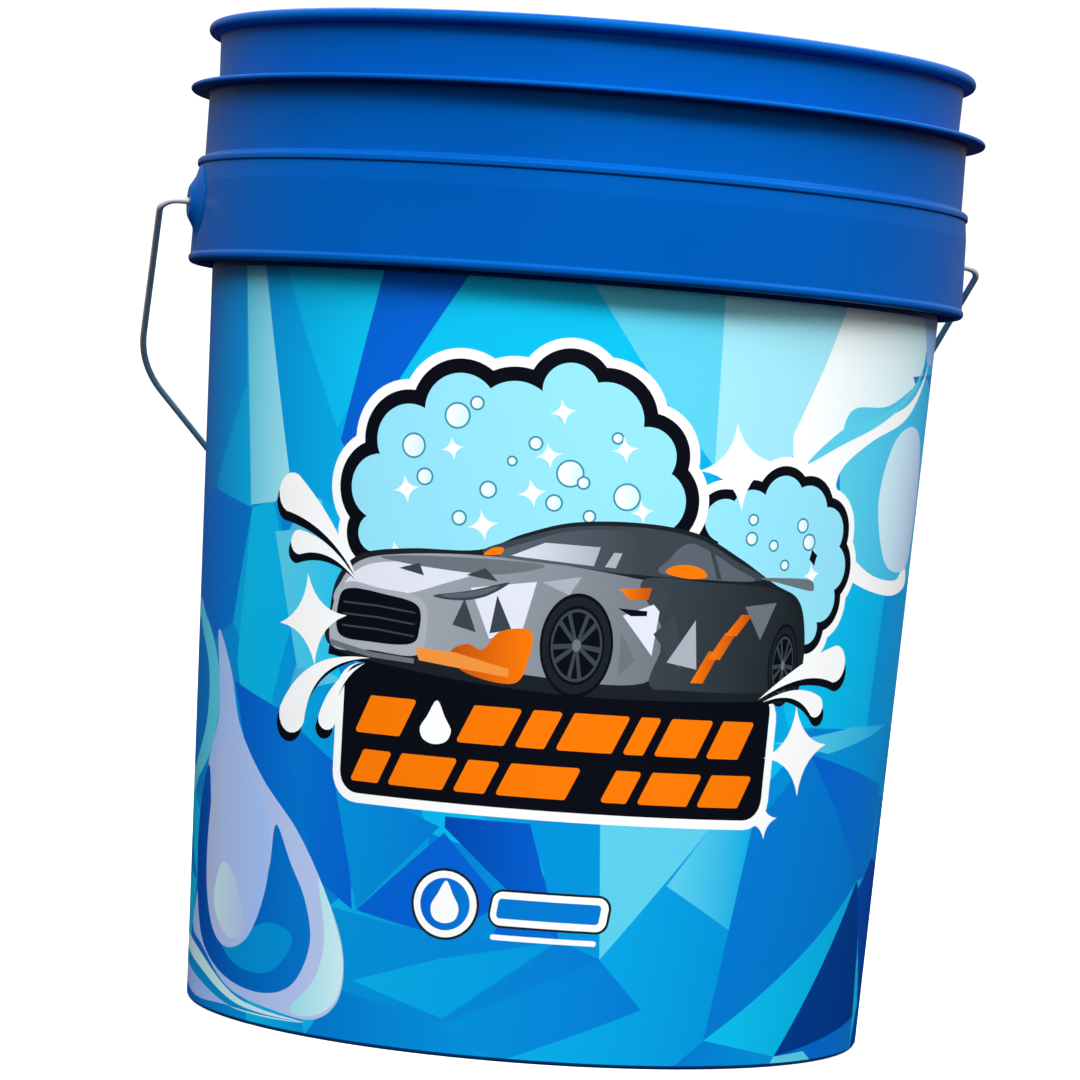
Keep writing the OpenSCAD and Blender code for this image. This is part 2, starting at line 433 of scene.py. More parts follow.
GRIP_R, GRIP_L, GRIP_BORE = 13.2, 110.0, 1.7
GROOVES, GROOVE_STEP = 11, 7.6
POCKETS, POCKET_DEPTH, POCKET_SKIN, POCKET_WEB, HUB_R = 6, 38, 3.6, 0.8, 4.0


def grip():
    """Moulded tube with finger grooves, an end collar each side and cored-out ends."""
    half, end_r = GRIP_L / 2, GRIP_R + 0.8
    side = [(end_r, -half, 1.6), (end_r, -half + 4.5, 2), (GRIP_R - 0.9, -half + 8.5, 2)]
    for i in range(-(GROOVES // 2), GROOVES // 2 + 1):
        x, r = i * GROOVE_STEP, GRIP_R - 0.03 * abs(i)
        side += [(r, x - 1.5, 0.4), (r - 0.7, x - 0.8, 0.3), (r - 0.7, x + 0.8, 0.3)]
        side += [(r, x + 1.5, 0.4)]
    side += [(GRIP_R - 0.9, half - 8.5, 2), (end_r, half - 4.5, 2), (end_r, half, 1.6)]
    profile = rounded([(0, -half, 0)] + side + [(0, half, 0)], step_deg=15)
    place = Matrix.Translation((0, GRIP_Y, GRIP_Z))
    bm = bmesh.new()
    revolve(bm, profile, 96, "X")
    bmesh.ops.transform(bm, matrix=place, verts=bm.verts)
    bmesh.ops.recalc_face_normals(bm, faces=bm.faces)
    obj = new_object("grip_tube", bm)

    cut = bmesh.new()
    past = half + 2
    bore = [(0, -past), (GRIP_BORE, -past), (GRIP_BORE, past), (0, past)]
    revolve(cut, bore, 48, "X")
    pitch = 2 * math.pi / POCKETS
    for end in (-1, 1):
        for k in range(POCKETS):
            start, stop = pitch * k, pitch * (k + 1)
            outline = []
            for radius, order in ((GRIP_R - POCKET_SKIN, 1), (HUB_R, -1)):
                gap = math.asin(POCKET_WEB / radius)
                angles = [start + gap + (stop - start - 2 * gap) * j / 10 for j in range(11)]
                outline += [(radius * math.cos(a), radius * math.sin(a)) for a in angles[::order]]
            faces = []
            for x in (end * (half - POCKET_DEPTH), end * (half + 1)):
                faces.append([cut.verts.new((x, y, z)) for y, z in outline])
            n = len(outline)
            for j in range(n):
                m = (j + 1) % n
                cut.faces.new((faces[0][j], faces[0][m], faces[1][m], faces[1][j]))
            cut.faces.new(faces[0])
            cut.faces.new(faces[1])
    bmesh.ops.transform(cut, matrix=place, verts=cut.verts)
    bmesh.ops.recalc_face_normals(cut, faces=cut.faces)
    combine(obj, cut, "DIFFERENCE")
    return obj


# ---------------------------------------------------------------- printed artwork
# Label coordinates are millimetres: x round the wrap from the bucket's front, to the
# right as it is looked at, and y up from the foot.

INK = {
    "navy": "013c8f", "deep": "0148b0", "royal": "0561d2", "blue": "047ad2",
    "azure": "0494dc", "sky": "08aee8", "cyan": "0bc0ee", "aqua": "5ccfec",
    "pale": "9fe4f4", "ice": "cdf1f8", "white": "fbfdfe", "lilac": "a4c6ff",
    "mist": "b9c9f0", "foam": "93e2f8", "teal": "2f8fa8", "black": "0a0d16",
    "soot": "1b2227", "slate": "3a444c", "steel": "6a737c", "silver": "a9b0bb",
    "pearl": "dfe3f2", "orange": "f97a06", "rust": "c04f10", "amber": "f09440",
    "glass": "59636f",
}
SHAPES = []  # (outline, colour at left, colour at right, piece)
FRONT_HALF = 250  # the front piece of the film reaches about this far to either side


def paint(ink, outline, to=None, piece="front"):
    """Adds a shape over the shapes before it, in one ink or shading into another."""
    first = srgb(INK[ink])
    area = sum(a[0] * b[1] - b[0] * a[1] for a, b in zip(outline, outline[1:] + outline[:1]))
    outline = list(outline) if area > 0 else list(reversed(outline))
    SHAPES.append((outline, first, srgb(INK[to]) if to else first, piece))


def curve(points, steps=8):
    """A smooth closed outline through the points."""
    out, n = [], len(points)
    for i in range(n):
        p0, p1, p2, p3 = (Vector(points[(i + k) % n]) for k in (-1, 0, 1, 2))
        for k in range(steps):
            t = k / steps
            out.append(0.5 * (
                2 * p1 + (p2 - p0) * t + (2 * p0 - 5 * p1 + 4 * p2 - p3) * t * t
                + (3 * p1 - p0 - 3 * p2 + p3) * t ** 3
            ))
    return out


def disc(x, y, r, ry=None, n=56):
    """A circle, or an ellipse if a second radius is given."""
    ry = ry or r
    angles = [2 * math.pi * k / n for k in range(n)]
    return [Vector((x + r * math.cos(a), y + ry * math.sin(a))) for a in angles]


def sparkle(x, y, r, waist, lean, n=7):
    """A four-pointed sparkle with hollow sides."""
    out = []
    for k in range(4):
        a0, a1 = k * math.pi / 2 + lean, (k + 1) * math.pi / 2 + lean
        tip0 = Vector((math.cos(a0), math.sin(a0)))
        tip1 = Vector((math.cos(a1), math.sin(a1)))
        mid = (tip0 + tip1) * waist
        for j in range(n):
            t = j / n
            q = tip0 * (1 - t) ** 2 + mid * (2 * t * (1 - t)) + tip1 * t * t
            out.append(Vector((x, y)) + q * r)
    return out


def bar(x0, y0, x1, y1, slant, r):
    """A slanted bar with rounded corners."""
    lean = (y1 - y0) * slant
    corners = [(x0, y0, r), (x1, y0, r), (x1 + lean, y1, r), (x0 + lean, y1, r)]
    return rounded(corners, closed=True, step_deg=15)


def splash(root, bend, tip, width, steps=16):
    """A drop thrown along a curve: a point at its root and a round end at its tip."""
    a, b, c = Vector(root), Vector(bend), Vector(tip)
    left, right = [], []
    for k in range(steps + 1):
        t = k / steps
        p = a * (1 - t) ** 2 + b * (2 * t * (1 - t)) + c * t * t
        d = ((b - a) * (1 - t) + (c - b) * t).normalized()
        w = width * (t ** 0.8) * (0.35 + 0.65 * t)
        left.append(p + Vector((-d.y, d.x)) * w)
        right.append(p - Vector((-d.y, d.x)) * w)
    d = (c - b).normalized()
    cap = []
    for k in range(1, 10):
        t = math.pi * k / 10
        cap.append(c + Vector((-d.y, d.x)) * (width * math.cos(t)) + d * (width * math.sin(t)))
    return left + cap + right[:0:-1]


def facets():
    """Low-poly background: random facets all round, split into a front and a back piece."""
    tones = ["royal", "blue", "azure", "sky", "cyan", "azure", "blue", "aqua", "deep"]
    half = math.pi * ART_R
    cols, rows = 22, 7
    grid = {}
    for i in range(cols + 1):
        for j in range(rows + 1):
            x = -half + 2 * half * i / cols
            y = FILM_Z0 + (FILM_Z1 - FILM_Z0) * j / rows
            if 0 < i < cols:
                x += rng.uniform(-13, 13)
            if 0 < j < rows:
                y += rng.uniform(-13, 13)
            grid[i, j] = (x, y)
    for i in range(cols):
        for j in range(rows):
            a, b, c, d = grid[i, j], grid[i + 1, j], grid[i + 1, j + 1], grid[i, j + 1]
            halves = [(a, b, c), (a, c, d)] if rng.random() < 0.5 else [(a, b, d), (b, c, d)]
            for tri in halves:
                height = sum(p[1] for p in tri) / 3 / FILM_Z1
                pick = int(height * 4 + rng.uniform(-0.5, 4.5)) % len(tones)
                piece = "front" if abs(sum(p[0] for p in tri) / 3) < FRONT_HALF else "back"
                other = tones[(pick + 1) % len(tones)]
                paint(tones[pick], [Vector(p) for p in tri], other, piece)


FRONT_FACETS = [
    # left and upper left
    ("deep", "azure", [(-250, 288), (-176, 288), (-172, 240), (-200, 200), (-250, 190)]),
    ("royal", "blue", [(-250, 190), (-200, 200), (-164, 194), (-176, 150), (-250, 120)]),
    ("azure", "sky", [(-200, 200), (-172, 240), (-176, 288), (-164, 194)]),
    ("sky", "azure", [(-176, 150), (-164, 194), (-148, 197), (-128, 150), (-140, 118)]),
    ("cyan", "sky", [(-164, 194), (-150, 197), (-134, 160), (-150, 110), (-172, 128)]),
    ("aqua", "cyan", [(-148, 186), (-112, 190), (-106, 142), (-132, 136)]),
    ("azure", "sky", [(-163, 288), (-140, 204), (-112, 196), (-104, 250), (-100, 288)]),
    ("sky", "cyan", [(-150, 288), (-118, 226), (-104, 250), (-100, 288)]),
    ("aqua", "pale", [(-176, 288), (-162, 288), (-140, 203), (-149, 197), (-165, 195)]),
    ("royal", "royal", [(-100, 288), (-66, 288), (-92, 246), (-110, 214), (-116, 222)]),
    # top
    ("cyan", "cyan", [(-66, 288), (-26, 288), (-8, 262), (-40, 240), (-92, 246)]),
    ("sky", "cyan", [(-92, 246), (-40, 240), (-60, 215), (-110, 214)]),
    ("aqua", "aqua", [(-26, 288), (24, 288), (32, 252), (26, 222), (4, 246)]),
    ("cyan", "sky", [(-8, 262), (4, 246), (26, 222), (22, 196), (-20, 220)]),
    ("pale", "pale", [(24, 288), (80, 288), (76, 262), (62, 236), (52, 214), (26, 222)]),
    ("white", "ice", [(80, 288), (150, 288), (143, 258), (112, 238), (60, 218), (58, 236),
                      (70, 262)]),
    ("lilac", "blue", [(136, 288), (230, 288), (230, 262), (150, 268)]),
    # right
    ("blue", "azure", [(132, 262), (230, 268), (230, 200), (170, 232)]),
    ("sky", "azure", [(150, 252), (230, 205), (230, 130), (120, 178)]),
    ("cyan", "sky", [(60, 200), (128, 186), (152, 140), (124, 127), (70, 128), (60, 150)]),
    ("azure", "sky", [(128, 186), (230, 165), (230, 120), (150, 127), (124, 127)]),
    ("aqua", "sky", [(64, 122), (112, 128), (152, 128), (150, 110), (96, 118)]),
    ("azure", "azure", [(150, 128), (230, 120), (230, 90), (152, 100), (84, 116)]),
    # lower left
    ("blue", "azure", [(-250, 120), (-176, 150), (-160, 104), (-200, 80), (-250, 84)]),
    ("royal", "blue", [(-172, 128), (-140, 120), (-112, 96), (-118, 60), (-150, 76)]),
    ("blue", "royal", [(-140, 120), (-106, 100), (-100, 50), (-118, 60)]),
    ("azure", "blue", [(-112, 100), (-66, 84), (-98, 50)]),
    ("royal", "royal", [(-98, 50), (-64, 82), (-40, 58), (-62, 44)]),
    ("deep", "royal", [(-64, 88), (-32, 88), (-18, 46), (-64, 84)]),
    ("azure", "azure", [(-32, 90), (-6, 90), (-2, 40), (-18, 46)]),
    ("azure", "blue", [(-110, 50), (-62, 44), (-18, 46), (-2, 40), (-60, 12), (-104, 20)]),
    ("blue", "azure", [(-104, 20), (-60, 12), (-38, 0), (-120, 0)]),
    ("sky", "azure", [(-62, 36), (-18, 46), (-60, 14), (-98, 24)]),
    # lower middle and lower right
    ("sky", "azure", [(-38, 0), (-2, 40), (38, 90), (57, 90), (44, 11), (30, 0)]),
    ("aqua", "sky", [(38, 90), (57, 90), (51, 52), (22, 68)]),
    ("aqua", "aqua", [(-6, 90), (38, 90), (-2, 40)]),
    ("azure", "blue", [(-60, 12), (-2, 40), (16, 22), (-38, 0)]),
    ("blue", "blue", [(57, 90), (84, 118), (132, 68), (44, 11)]),
    ("royal", "blue", [(84, 118), (152, 104), (150, 70), (132, 68)]),
    ("cyan", "sky", [(44, 11), (132, 68), (81, 4)]),
    ("blue", "azure", [(44, 11), (30, 0), (78, 0), (81, 4)]),
    ("navy", "navy", [(132, 68), (140, 60), (150, 14), (81, 4)]),
    ("royal", "blue", [(81, 4), (150, 14), (150, 0), (78, 0)]),
    ("aqua", "aqua", [(81, 4), (78, 0), (108, 0), (100, 5)]),
    ("deep", "navy", [(134, 64), (152, 76), (230, 60), (230, 0), (150, 0), (158, 18)]),
    ("blue", "azure", [(152, 100), (230, 90), (230, 58), (152, 76)]),
]


def drops():
    """Two big curled water drops, lilac at lower left and white at upper right."""
    paint("aqua", curve([(-230, 152), (-208, 150), (-192, 138), (-186, 120), (-194, 100),
                         (-212, 88), (-230, 84)]))
    paint("blue", curve([(-230, 146), (-212, 142), (-200, 128), (-204, 106), (-230, 92)]))
    paint("lilac", curve([(-190, 146), (-176, 132), (-167, 112), (-150, 94), (-128, 76),
                          (-112, 54), (-103, 34), (-104, 16), (-116, 7), (-140, 8),
                          (-168, 12), (-196, 24), (-214, 30), (-206, 48), (-208, 70),
                          (-196, 96), (-186, 116)]), "mist")
    paint("pale", curve([(-116, 60), (-104, 36), (-104, 18), (-114, 9), (-128, 9),
                         (-116, 22), (-112, 38)]), "ice")
    paint("deep", curve([(-196, 94), (-208, 72), (-208, 48), (-198, 28), (-176, 17),
                         (-148, 13), (-128, 18), (-119, 34), (-122, 50), (-131, 64),
                         (-140, 77), (-143, 60), (-150, 50), (-180, 56), (-190, 74)]), "blue")
    paint("azure", curve([(-188, 40), (-170, 24), (-150, 20), (-136, 24), (-128, 36),
                          (-142, 40), (-162, 34)]))
    paint("mist", curve([(-182, 104), (-192, 78), (-194, 52), (-186, 34), (-172, 27),
                         (-156, 32), (-146, 48), (-143, 66), (-148, 84), (-164, 96)]), "lilac")
    paint("ice", curve([(-184, 42), (-170, 31), (-158, 36), (-166, 54), (-178, 58)]), "mist")
    for lift, ink in ((0, "ice"), (-6, "azure"), (-11, "lilac")):
        paint(ink, curve([(-236, 26 + lift), (-200, 22 + lift), (-160, 9 + lift * 0.4),
                          (-120, 5.3), (-168, 5.2), (-205, 15 + lift), (-236, 20 + lift)]))

    paint("aqua", curve([(86, 246), (112, 250), (150, 262), (176, 250), (186, 216),
                         (176, 190), (140, 181), (104, 184), (92, 200), (84, 222)]), "sky")
    paint("white", curve([(62, 226), (74, 236), (104, 244), (132, 252), (152, 266),
                          (160, 280), (150, 262), (130, 246), (102, 236), (84, 224),
                          (84, 210), (92, 196), (112, 186), (138, 184), (150, 190),
                          (156, 182), (130, 178), (96, 184), (76, 200)]))
    paint("aqua", curve([(66, 226), (84, 240), (112, 248), (140, 262), (152, 276),
                         (138, 258), (110, 244), (84, 234)]))
    paint("ice", curve([(112, 214), (120, 236), (138, 243), (156, 236), (164, 214),
                        (158, 192), (140, 187), (122, 192)]), "mist")


def cloud(lobes, key, edge):
    """Suds: round lobes with a dark edge and a white line round it."""
    for grow, ink in ((key, "white"), (edge, "black"), (0, "foam")):
        for x, y, r in lobes:
            paint(ink, disc(x, y, r + grow), piece="emblem")


def emblem():
    """Suds, a coupe, splashes and a plate with plain stripes."""
    cloud([(32, 203, 8), (43, 206, 9), (57, 212, 9), (69, 208, 10), (80, 201, 9.5),
           (84, 188, 9), (80, 176, 8.5), (74, 165, 6), (58, 196, 15), (64, 178, 15),
           (42, 196, 12), (50, 186, 16)], 7.0, 3.6)
    cloud([(-98, 206, 12), (-87, 224, 13), (-68, 236, 13.5), (-48, 233, 15),
           (-29, 246, 10), (-16, 236, 14), (0, 224, 11), (4, 208, 12), (-99, 189, 7),
           (-50, 212, 30), (-76, 206, 25), (-22, 212, 26), (-84, 190, 14),
           (-60, 190, 14), (-20, 192, 16)], 9.0, 5.2)
    for x, y, r in ((-85, 222, 4), (-69, 234, 4.2), (-80, 211, 2.6), (-56, 208, 2.6),
                    (-32, 205, 2.5), (-27, 216, 4.4), (-6, 209, 4.4), (-66, 197, 2.2),
                    (-62, 239, 2), (-22, 213, 1.8), (-19, 201, 1.8), (-40, 226, 2),
                    (44, 197, 2), (67, 203, 2.2), (71, 197, 2.6), (54, 195, 1.6),
                    (44, 204, 1.6), (60, 188, 1.5), (-48, 219, 1.3), (-11, 230, 1.6)):
        paint("teal", disc(x, y, r + 0.7, n=28), piece="emblem")
        paint("white", disc(x, y, r, n=28), "ice", piece="emblem")
    for x, y, r in ((-87, 206, 5.5), (-57, 195, 6), (-40, 208, 5.5), (-35, 222, 5),
                    (-31, 238, 5), (-8, 226, 5), (-70, 222, 4.5), (0, 204, 4.5),
                    (-90, 183, 4), (74, 185, 4.5)):
        paint("white", sparkle(x, y, r, 0.08, 0.2), piece="emblem")

    paint("white", bar(-112, 89.5, 63.5, 141, 0.0, 11), piece="emblem")
    paint("black", bar(-108.6, 93, 60, 141, 0.0, 8), piece="emblem")
    stripes = (
        (115.5, 129.5, 0.45, ((-103, -84), (-62, -44), (-40, -29), (-25, -4), (0, 8), (12, 29),
                              (33, 47))),
        (97.5, 109.5, 0.45, ((-104, -92), (-88, -66), (-62, -50), (-46, -20), (-7, 3),
                             (7, 27), (31, 49))),
    )
    for y0, y1, slant, runs in stripes:
        for x0, x1 in runs:
            paint("orange", bar(x0, y0, x1, y1, slant, 1.0), piece="emblem")
    paint("white", curve([(-70, 130), (-66.5, 124), (-64, 119.5), (-65.5, 115.5),
                          (-70, 114), (-74.5, 115.5), (-76, 119.5), (-73.5, 124)]),
          piece="emblem")
    coupe()

    for root, bend, tip, width in (
        ((-106, 172), (-118, 192), (-139, 201), 7.5),
        ((-106, 171), (-118, 184), (-134, 183), 4.6),
        ((-98, 143), (-126, 142), (-134, 119), 7),
        ((-100, 141), (-114, 134), (-116, 119), 4.2),
        ((54, 138), (74, 152), (93, 152), 7),
        ((56, 137), (72, 144), (84, 136), 4.2),
    ):
        for shift, ink in (((-1.2 if tip[0] < 0 else 1.2, -3.4), "black"), ((0, 0), "white")):
            at = [Vector(p) + Vector(shift) * k for p, k in ((root, 0), (bend, 0.8), (tip, 1))]
            paint(ink, splash(*at, width), piece="emblem")
    for x, y, r in ((-126, 155, 17), (36, 223, 16), (76, 119, 17), (62, 93, 7)):
        paint("white", sparkle(x, y, r, 0.17, 0.16), piece="emblem")


def coupe():
    """A plain two-door car, seen from its front left corner."""
    def part(ink, points, to=None, smooth=True):
        paint(ink, curve(points) if smooth else [Vector(p) for p in points], to, "emblem")

    part("black", [(-117, 143), (-60, 136), (-20, 133), (40, 134), (72, 138), (76, 150),
                   (-116, 150)], smooth=False)
    part("soot", [(-116, 146), (-117, 160), (-114, 172), (-104, 181), (-84, 184.5),
                  (-58, 186), (-42, 193), (-24, 198.5), (0, 200), (22, 197.5),
                  (40, 189.5), (56, 181), (68, 176), (73, 166), (74, 150), (66, 139),
                  (20, 136), (-30, 136), (-80, 140)])
    part("silver", [(-113, 160), (-112, 171), (-103, 179), (-84, 182.5), (-58, 184),
                    (-30, 183), (-2, 180), (20, 176), (12, 160), (6, 142), (-38, 142),
                    (-76, 146)], "steel")
    part("pearl", [(-112, 164), (-109, 172), (-98, 178), (-74, 180), (-58, 178),
                   (-72, 172), (-84, 168), (-98, 166)])
    part("steel", [(-96, 180.5), (-70, 182.6), (-34, 182.4), (-50, 177.6), (-74, 178)])
    part("slate", [(2, 179), (30, 180), (56, 179), (66, 174), (70, 164), (71, 148),
                   (60, 141), (20, 140), (8, 142), (12, 160)], "soot")
    # glass and roof
    part("slate", [(-56, 185), (-41, 192), (-24, 197), (0, 198.4), (22, 195.8),
                   (38, 188.6), (50, 182), (10, 181), (-20, 182.5)])
    part("glass", [(-51, 184.6), (-38, 191), (-24, 195.4), (-4, 196.6), (0, 190),
                   (2, 181.6), (-24, 182.6)], "slate")
    part("pearl", [(-46, 184.8), (-34, 190.4), (-14, 190.2), (-16, 183.2)], "silver", False)
    part("silver", [(-12, 183.2), (-9, 188.6), (-6, 188.6), (-8, 183)], None, False)
    part("glass", [(10, 182), (12, 188), (18, 193.6), (26, 192), (38, 186), (46, 181.4)])
    part("slate", [(27, 192), (29, 191), (33, 181.4), (31, 181.4)], None, False)
    # camouflage-like triangles on the body
    for ink, tri in (
        ("slate", [(-88, 177), (-80, 179.5), (-78, 175)]),
        ("slate", [(-62, 176.5), (-55, 179.5), (-50, 175)]),
        ("slate", [(-66, 158), (-62, 168), (-57, 156)]),
        ("pearl", [(-60, 172), (-36, 176), (-40, 158), (-52, 154)]),
        ("slate", [(-50, 170), (-44, 158), (-52, 156)]),
        ("silver", [(-34, 176), (-20, 179), (-24, 172)]),
        ("pearl", [(-4, 166), (10, 172), (8, 152)]),
        ("slate", [(4, 174), (14, 176), (10, 168)]),
        ("steel", [(-4, 160), (2, 150), (-4, 144)]),
        ("slate", [(8, 160), (16, 168), (20, 146)]),
        ("silver", [(14, 150), (24, 166), (26, 148)]),
        ("steel", [(44, 172), (58, 174), (52, 160)]),
    ):
        part(ink, tri, None, False)
    # grille, lamp, intake and splitter
    part("silver", [(-115, 146), (-116, 160), (-110, 170), (-96, 169), (-78, 166),
                    (-76, 152), (-80, 145.5), (-98, 146)])
    part("black", [(-112.5, 151), (-113, 164), (-108, 168), (-94, 167), (-80, 164),
                   (-78.6, 155), (-82, 149.6), (-98, 149)])
    for y in (154, 158.4, 162.6):
        part("slate", [(-111, y + 0.5), (-96, y + 0.2), (-80.5, y - 1.2), (-80.5, y - 1.8),
                       (-96, y - 0.5), (-111, y - 0.2)], None, False)
    part("slate", [(-74, 168), (-60, 171), (-46, 175), (-54, 169.4), (-64, 167)])
    part("glass", [(-71, 168.4), (-60, 170.6), (-50, 173.2), (-55, 170), (-64, 168)])
    part("rust", [(-66, 148), (-60, 151.5), (-54, 150), (-48, 157), (-37, 158), (-37, 148),
                  (-42, 138.5), (-60, 141)], "orange")
    part("amber", [(-80, 148.6), (-64, 148), (-44, 143.6), (-44, 140.6), (-78, 144)], None, False)
    part("steel", [(-116, 148.6), (-98, 145.4), (-80, 144.4), (-80, 142.6), (-98, 143.4),
                   (-116, 146.4)], None, False)
    # mirrors and side vent
    part("orange", [(11, 182.6), (13, 185), (19, 186), (25, 184.6), (26.6, 181.8), (19, 181)])
    part("orange", [(-56, 184.4), (-53, 187), (-49, 187.4), (-50, 185)])
    part("orange", [(-6, 175.6), (6, 176.8), (5, 172.4), (-2, 172)], "rust", False)
    part("black", [(-6, 168.6), (5, 168.2), (5, 166.4), (-1, 166)], None, False)
    # slanted orange flashes on the door
    for k in range(3):
        x = 24 + 6.2 * k
        part("orange", [(x, 143 + 9 * k), (x + 5, 143 + 9 * k), (x + 11, 155 + 7 * k),
                        (x + 6.4, 155 + 7 * k)], "rust", False)
    wheel(-20, 154, 13.4, 19.0)
    wheel(64, 151, 7.2, 15.4)
    part("steel", [(50, 182.8), (66, 183.4), (74, 183), (76, 180.6), (74, 179), (58, 181.4)])


def wheel(x, y, rx, ry):
    """Tyre, rim and five forked spokes, foreshortened to an ellipse."""
    for grow, ink in ((1.0, "black"), (0.93, "soot"), (0.76, "black"), (0.7, "slate"),
                      (0.64, "black")):
        paint(ink, disc(x, y, rx * grow, ry * grow), piece="emblem")
    c = Vector((x, y))
    for k in range(10):
        a = 2 * math.pi * k / 10 + (0.09 if k % 2 else -0.09)
        d = Vector((rx * math.cos(a), ry * math.sin(a))) * 0.67
        n = Vector((-rx * math.sin(a), ry * math.cos(a))) * 0.055
        paint("slate", [c + n * 0.7, c + d + n, c + d - n, c - n * 0.7], piece="emblem")
    paint("steel", disc(x, y, rx * 0.12, ry * 0.12, 20), piece="emblem")


def badge():
    """A drop in a ring and a plain open bar."""
    for r, ink, to in ((13.2, "soot", None), (12.2, "white", None), (9.6, "royal", "blue")):
        paint(ink, disc(-62, 56, r), to, "emblem")
    paint("white", curve([(-62, 64.6), (-59, 59.6), (-56.6, 55), (-57.8, 50.6), (-62, 49),
                          (-66.2, 50.6), (-67.4, 55), (-65, 59.6)]), piece="emblem")
    for grow, ink in ((0.9, "soot"), (0, "white"), (-2.6, "blue")):
        shape = bar(-45 - grow, 50 - grow, -1 + grow, 62.5 + grow, 0.12, max(0.8, 4 + grow))
        paint(ink, shape, piece="emblem")
    paint("white", bar(-44, 44.6, -4, 46.6, 0.12, 0.9), piece="emblem")


def on_wrap(x, y, lift):
    """A label point on the cone, lift millimetres proud of the wall."""
    a, r = x / ART_R, wall_r(y) + lift
    return Vector((r * math.sin(a), -r * math.cos(a), y))


def wrap():
    """Cuts the label into one flat map of inks, then rolls it onto the wall."""
    facets()
    for ink, to, points in FRONT_FACETS:
        paint(ink, [Vector(p) for p in points], to)
    drops()
    emblem()
    badge()

    edge = (math.pi - SEAM / 2) * ART_R
    verts, edges, faces = [], [], []

    def put(points):
        first = len(verts)
        verts.extend(Vector(p) for p in points)
        return list(range(first, len(verts)))

    faces.append(put([(-edge, FILM_Z0), (edge, FILM_Z0), (edge, FILM_Z1), (-edge, FILM_Z1)]))
    for outline, *_ in SHAPES:
        faces.append(put(outline))
    lines = 240
    for k in range(1, lines):
        x = -edge + 2 * edge * k / lines
        edges.append(put([(x, FILM_Z0), (x, FILM_Z1)]))
    points, _, cells, _, _, owners = delaunay_2d_cdt(verts, edges, faces, 0, 1e-4, True)

    groups = {"front": [], "back": [], "emblem": []}
    for cell, owner in zip(cells, owners):
        if 0 not in owner:
            continue
        top = max(owner)
        groups[SHAPES[top - 1][3] if top else "front"].append((cell, top))
    ink_mat, made = print_ink(), []
    for piece, cells_here in groups.items():
        made.append(wrap_piece(f"print_{piece}", points, cells_here, ink_mat))
    return made


def wrap_piece(name, points, cells, mat):
    """One closed piece of the wrap, with its colours on the face corners."""
    bm = bmesh.new()
    ink = bm.loops.layers.float_color.new("ink")
    outer, under = {}, {}
    for cell, top in cells:
        for i in cell:
            if i not in outer:
                outer[i] = bm.verts.new(on_wrap(*points[i], FILM_T))
                under[outer[i]] = bm.verts.new(on_wrap(*points[i], FILM_GAP))
        corners = [outer[i] for i in cell]
        if len(set(corners)) < 3 or bm.faces.get(corners):
            continue
        face = bm.faces.new(corners)
        outline, start, end, _ = SHAPES[top - 1]
        xs = [p[0] for p in outline]
        lo, span = min(xs), max(max(xs) - min(xs), 1e-6)
        for loop, i in zip(face.loops, cell):
            t = min(max((points[i][0] - lo) / span, 0), 1)
            loop[ink] = (*(a + (b - a) * t for a, b in zip(start, end)), 1)
    rim = [loop for face in bm.faces for loop in face.loops if loop.edge.is_boundary]
    sheet = [(face, [under[v] for v in reversed(face.verts)]) for face in bm.faces]
    sheet += [(k.face, [k.link_loop_next.vert, k.vert, under[k.vert],
                        under[k.link_loop_next.vert]]) for k in rim]
    for face, corners in sheet:
        colour = face.loops[0][ink]
        for loop in bm.faces.new(corners).loops:
            loop[ink] = colour
    loose = [v for v in bm.verts if not v.link_faces]
    bmesh.ops.delete(bm, geom=loose, context="VERTS")
    bm.verts.index_update()
    inner = {v.index for v in under.values() if v.is_valid}
    obj = new_object(name, bm, 0)
    slope = (WALL_TOP_R - FOOT_R) / HEIGHT
    normals = []
    for v in obj.data.vertices:
        out = Vector((v.co.x, v.co.y, -slope * math.hypot(v.co.x, v.co.y))).normalized()
        normals.append(-out if v.index in inner else out)
    obj.data.normals_split_custom_set_from_vertices(normals)
    obj.data.materials.append(mat)
    return obj


# ---------------------------------------------------------------- scene


LIGHT_AIM = Vector((0, 0, 0.2))  # metres, about the middle of the bucket


def area_light(name, energy, size, location):
    """A rectangular light aimed at the middle of the bucket."""
    data = bpy.data.lights.new(name, "AREA")
    data.shape, data.size, data.size_y = "RECTANGLE", *size
    data.energy = energy
    obj = bpy.data.objects.new(name, data)
    bpy.context.scene.collection.objects.link(obj)
    obj.location = location
    along = LIGHT_AIM - Vector(location)
    obj.rotation_euler = along.to_track_quat("-Z", "Y").to_euler()


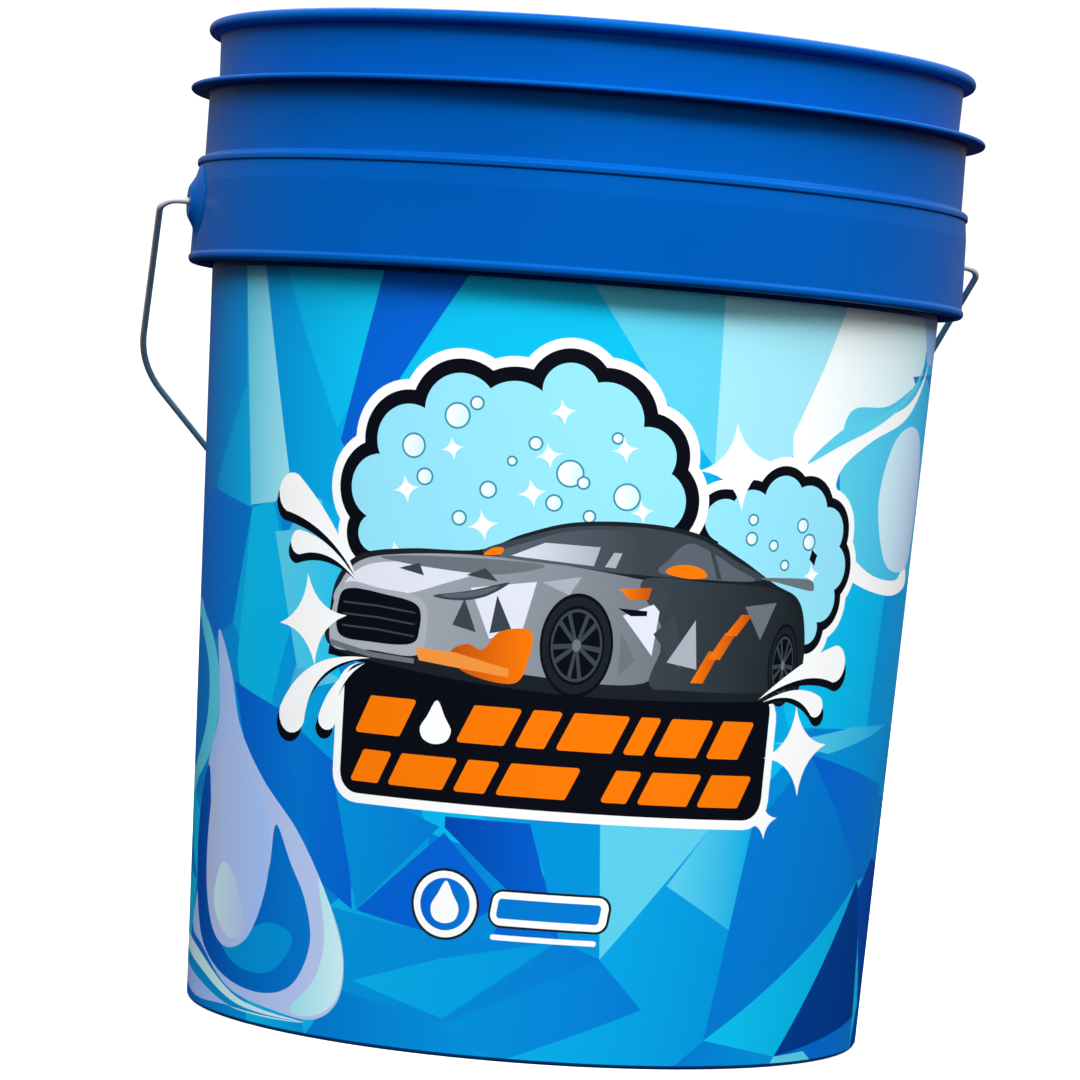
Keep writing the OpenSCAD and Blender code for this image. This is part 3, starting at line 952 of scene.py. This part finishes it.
def studio():
    """Round pale floor that curves up into a backdrop, soft lights and a world that is
    pale above and dark below."""
    bm = bmesh.new()
    profile = rounded([(0, 0, 0), (6000, 0, 3000), (6000, 7000, 0)], step_deg=4)
    revolve(bm, profile, 128)
    floor = new_object("floor", bm)
    mat, tree, shader = material("floor", (0.86, 0.86, 0.86), 0.6, specular=0.2)
    shader.inputs["Emission Color"].default_value = (1, 1, 1, 1)
    shader.inputs["Emission Strength"].default_value = 0.5
    floor.data.materials.append(mat)

    # The floor's bounce would grey the undersides of the flanges.
    floor.visible_diffuse = floor.visible_glossy = False

    world = bpy.data.worlds.new("studio")
    bpy.context.scene.world = world
    world.use_nodes = True
    tree = world.node_tree
    coords = add(tree, "ShaderNodeTexCoord")
    split = add(tree, "ShaderNodeSeparateXYZ")
    ramp = add(tree, "ShaderNodeValToRGB")
    span = add(tree, "ShaderNodeMapRange")
    span.inputs["From Min"].default_value = -0.2
    span.inputs["From Max"].default_value = 0.8
    tree.links.new(coords.outputs["Generated"], split.inputs["Vector"])
    tree.links.new(split.outputs["Z"], span.inputs["Value"])
    tree.links.new(span.outputs["Result"], ramp.inputs["Fac"])
    tree.links.new(ramp.outputs["Color"], tree.nodes["Background"].inputs["Color"])
    ramp.color_ramp.elements.new(0.3)
    stops = ((0.12, 0.01), (0.3, 0.24), (1.0, 0.8))
    for element, (place, level) in zip(ramp.color_ramp.elements, stops):
        element.position, element.color = place, (level, level, level, 1)
    tree.nodes["Background"].inputs["Strength"].default_value = 1.15
    area_light("key", 62, (2.2, 0.6), (-0.2, -1.6, 2.1))
    area_light("left", 24, (0.8, 0.8), (-1.7, -1.2, 1.9))
    area_light("right", 28, (0.8, 0.8), (1.8, -1.0, 1.8))
    area_light("front", 6, (1.6, 0.8), (-0.5, -2.7, 0.9))
    area_light("back", 36, (2.2, 0.6), (0.4, 1.7, 2.1))


def camera():
    """Camera a little to the left of the front: low, long lens, slightly rolled."""
    away, height, side = 1.6964, 0.22685, math.radians(12.5)
    yaw, pitch, roll = (math.radians(a) for a in (-0.22, -1.31, 4.29))
    look = Vector((math.sin(yaw), math.cos(yaw), math.tan(pitch))).normalized()
    flat_right = Vector((math.cos(yaw), -math.sin(yaw), 0))
    flat_up = flat_right.cross(look)
    right = flat_right * math.cos(roll) + flat_up * math.sin(roll)
    up = flat_up * math.cos(roll) - flat_right * math.sin(roll)
    axes = Matrix((right, up, -look)).transposed().to_4x4()
    data = bpy.data.cameras.new("camera")
    data.sensor_width, data.lens = 36.0, 143.44
    obj = bpy.data.objects.new("camera", data)
    bpy.context.scene.collection.objects.link(obj)
    turn = Matrix.Rotation(-side, 4, "Z")
    obj.matrix_world = turn @ Matrix.Translation((0, -away, height)) @ axes
    bpy.context.scene.camera = obj


shell = pail()
shell.data.materials.clear()
shell.data.materials.append(pail_plastic())
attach(shell, "bucket")
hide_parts("bucket_shell")

for film in wrap():
    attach(film, "bucket")
    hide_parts("wrap_film")

wire = bail()
wire.data.materials.clear()
wire.data.materials.append(galvanised())
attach(wire, "bail")
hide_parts("bail_wire")

tube = grip()
tube.data.materials.clear()
tube.data.materials.append(grip_plastic())
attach(tube, "grip")
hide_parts("bail_grip")

studio()
camera()
bpy.context.scene.view_settings.view_transform = "Standard"
